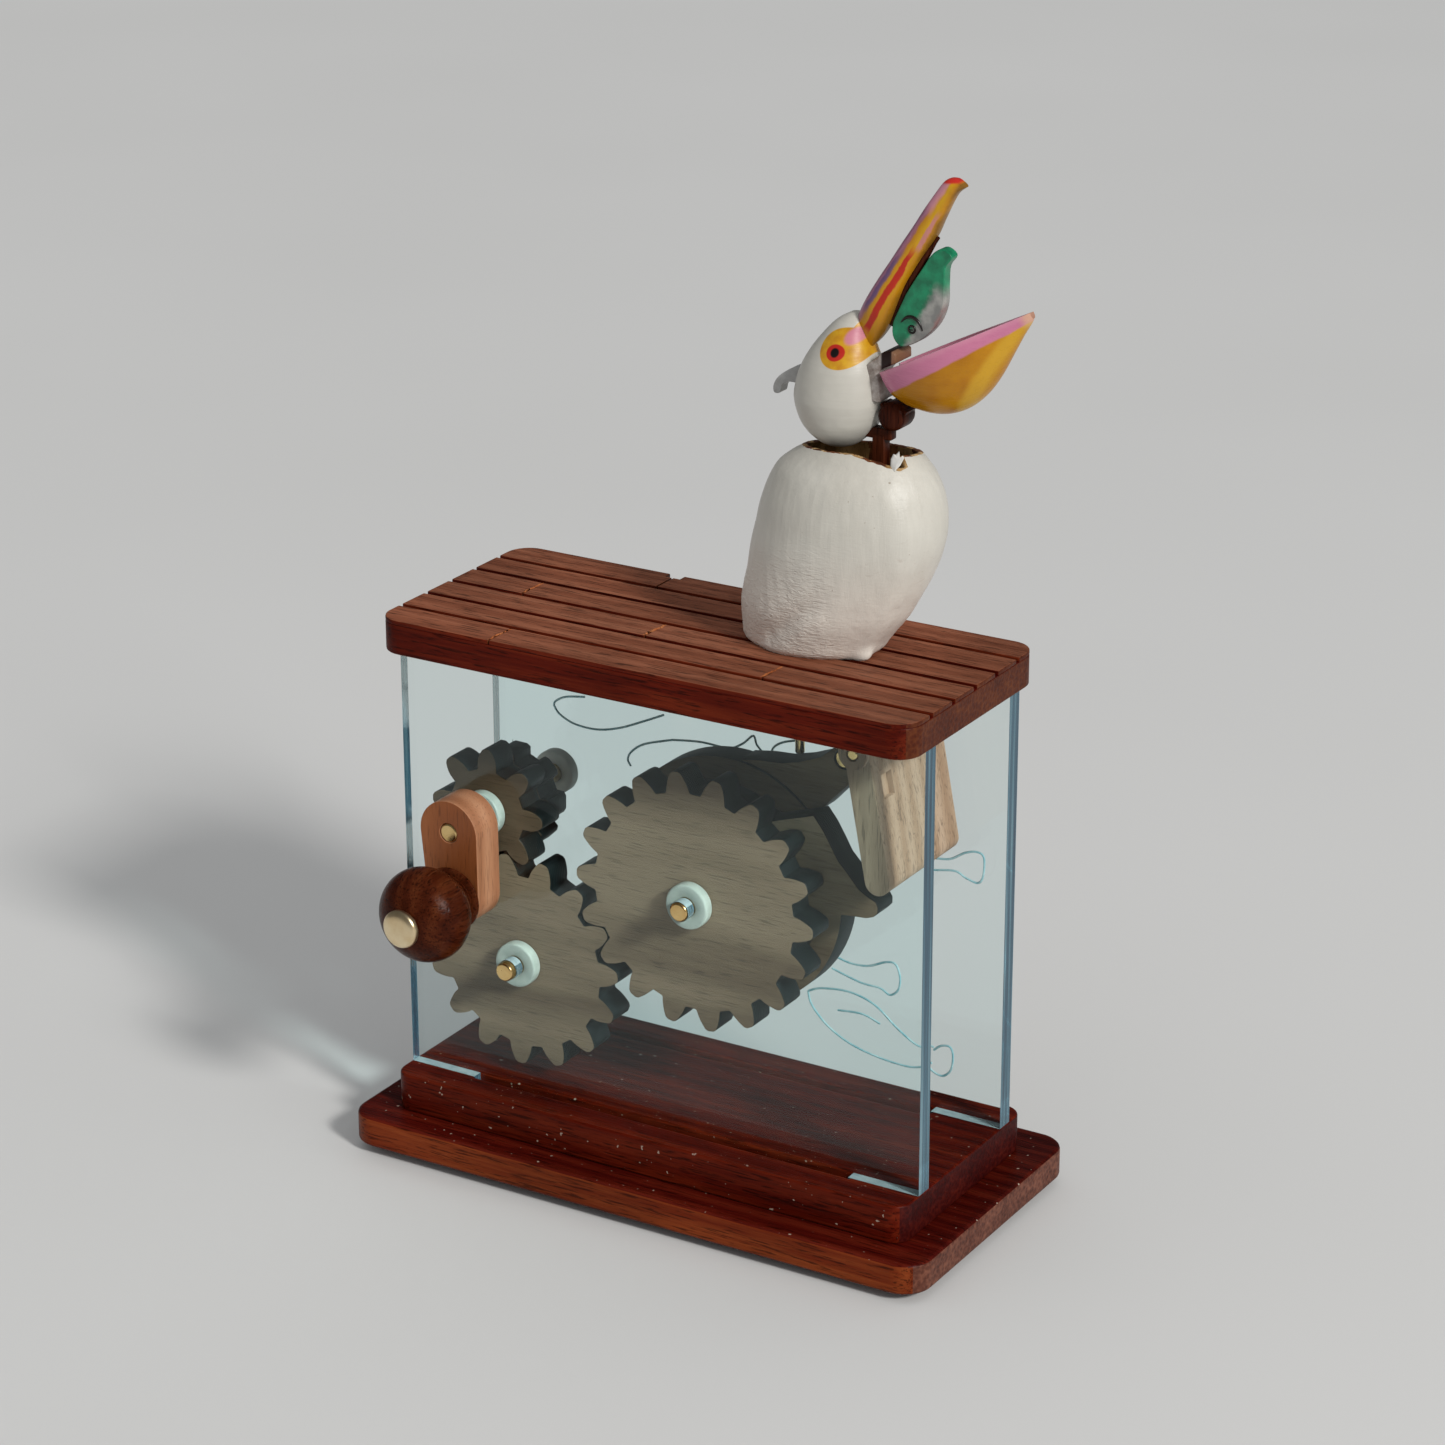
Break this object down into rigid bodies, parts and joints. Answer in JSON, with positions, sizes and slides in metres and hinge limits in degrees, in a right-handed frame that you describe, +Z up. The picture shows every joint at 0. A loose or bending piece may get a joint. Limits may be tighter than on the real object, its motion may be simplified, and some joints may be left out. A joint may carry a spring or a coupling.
{
  "type": "hand-cranked automaton",
  "caption": "Desk automaton: a crank drives wooden gears and cams between clear plates under a deck, moving the head and lower beak of a carved pelican.",
  "frame": {"origin": "centre of the object's box on the surface that it stands on", "axes": "+Z up, +X to the right as seen from the crank side, +Y away from the crank"},
  "size_m": [0.167, 0.099, 0.2635],
  "materials": {
    "dark_wood": "varnished red-brown hardwood",
    "ply": "laser-cut plywood with browned edges",
    "light_wood": "plain light wood",
    "arm_wood": "oiled reddish wood",
    "knob_wood": "dark stained wood",
    "acrylic": "clear acrylic sheet with engraved outlines",
    "brass": "turned brass",
    "nylon": "white nylon",
    "felt": "pale felt",
    "white_paint": "brushed white paint on carved wood",
    "yellow_paint": "yellow painted wood",
    "ochre_paint": "ochre painted wood",
    "grey_paint": "grey-white painted wood",
    "green_paint": "green and silver painted wood"
  },
  "bodies": {
    "case": {"foot_1": "felt", "foot_2": "felt", "foot_3": "felt", "foot_4": "felt", "base_board": "dark_wood", "plinth": "dark_wood", "front_plate": "acrylic", "back_plate": "acrylic", "deck": "dark_wood", "lever_pin": "brass", "lever_spacer": "nylon", "paddle_pin": "brass", "paddle_hanger_front": "light_wood", "paddle_hanger_back": "light_wood", "pelican_body": "white_paint", "neck_pin": "brass"},
    "crank": {"crank_shaft": "brass", "crank_spacer_front": "nylon", "crank_spacer_back": "nylon", "pinion": "ply", "pinion_rear": "ply", "crank_arm": "arm_wood", "knob_pin": "brass"},
    "knob_grip": {"knob": "knob_wood"},
    "idler": {"idler_shaft": "brass", "idler_gear": "ply", "idler_spacer_front": "nylon", "idler_spacer_back": "nylon"},
    "cam_stack": {"cam_shaft": "brass", "cam_gear": "ply", "finger_cam": "ply", "disc_cam": "ply", "cam_spacer_front": "nylon", "cam_spacer_back": "nylon"},
    "lever": {"follower_lever": "ply"},
    "paddle_swinger": {"paddle": "light_wood"},
    "head_push_rod": {"head_rod": "brass"},
    "jaw_pull_rod": {"jaw_rod": "brass"},
    "head_group": {"neck_post": "knob_wood", "head": "white_paint", "crest": "grey_paint", "beak_block": "light_wood", "upper_beak": "yellow_paint", "fish": "green_paint", "jaw_pin": "brass"},
    "jaw": {"lower_beak": "ochre_paint", "jaw_bracket": "knob_wood"}
  },
  "joints": [
    {"name": "crank_turn", "type": "hinge", "parent": "case", "child": "crank", "pos_m": [-0.05356, 0.0089, 0.09228], "axis": [0, 1, 0], "continuous": true},
    {"name": "knob_spin", "type": "hinge", "parent": "crank", "child": "knob_grip", "pos_m": [-0.05266, 0.0089, 0.07511], "axis": [0, 1, 0], "continuous": true},
    {"name": "idler_turn", "type": "hinge", "parent": "case", "child": "idler", "pos_m": [-0.0439, 0.0089, 0.05321], "axis": [0, 1, 0], "continuous": true},
    {"name": "cam_shaft_turn", "type": "hinge", "parent": "case", "child": "cam_stack", "pos_m": [0.007, 0.0089, 0.0805], "axis": [0, 1, 0], "continuous": true},
    {"name": "lever_swing", "type": "hinge", "parent": "case", "child": "lever", "pos_m": [0.0399, 0.0089, 0.1194], "axis": [0, 1, 0], "range_deg": [0, 8]},
    {"name": "head_rod_slide", "type": "slide", "parent": "case", "child": "head_push_rod", "axis": [0, 0, 1], "range_m": [0, 0.0023]},
    {"name": "head_tilt", "type": "hinge", "parent": "case", "child": "head_group", "pos_m": [0.0444, 0.0089, 0.185], "axis": [0, 1, 0], "range_deg": [0, 6.5]},
    {"name": "paddle_swing", "type": "hinge", "parent": "case", "child": "paddle_swinger", "pos_m": [0.0532, 0.0089, 0.1298], "axis": [0, 1, 0], "range_deg": [-18, 0]},
    {"name": "jaw_rod_slide", "type": "slide", "parent": "case", "child": "jaw_pull_rod", "axis": [0, 0, 1], "range_m": [-0.0033, 0]},
    {"name": "jaw_swing", "type": "hinge", "parent": "head_group", "child": "jaw", "pos_m": [0.0476, 0.0089, 0.2049], "axis": [0, 1, 0], "range_deg": [0, 9.1]}
  ],
  "couplings": [
    {"joint": "idler_turn", "follows": "crank_turn", "ratio": -0.53333},
    {"joint": "cam_shaft_turn", "follows": "crank_turn", "ratio": 0.44444},
    {"joint": "head_rod_slide", "follows": "lever_swing", "m_per_rad": 0.0149},
    {"joint": "head_tilt", "follows": "lever_swing", "ratio": 0.75},
    {"joint": "jaw_rod_slide", "follows": "paddle_swing", "m_per_rad": 0.01},
    {"joint": "jaw_swing", "follows": "paddle_swing", "ratio": -0.5}
  ]
}
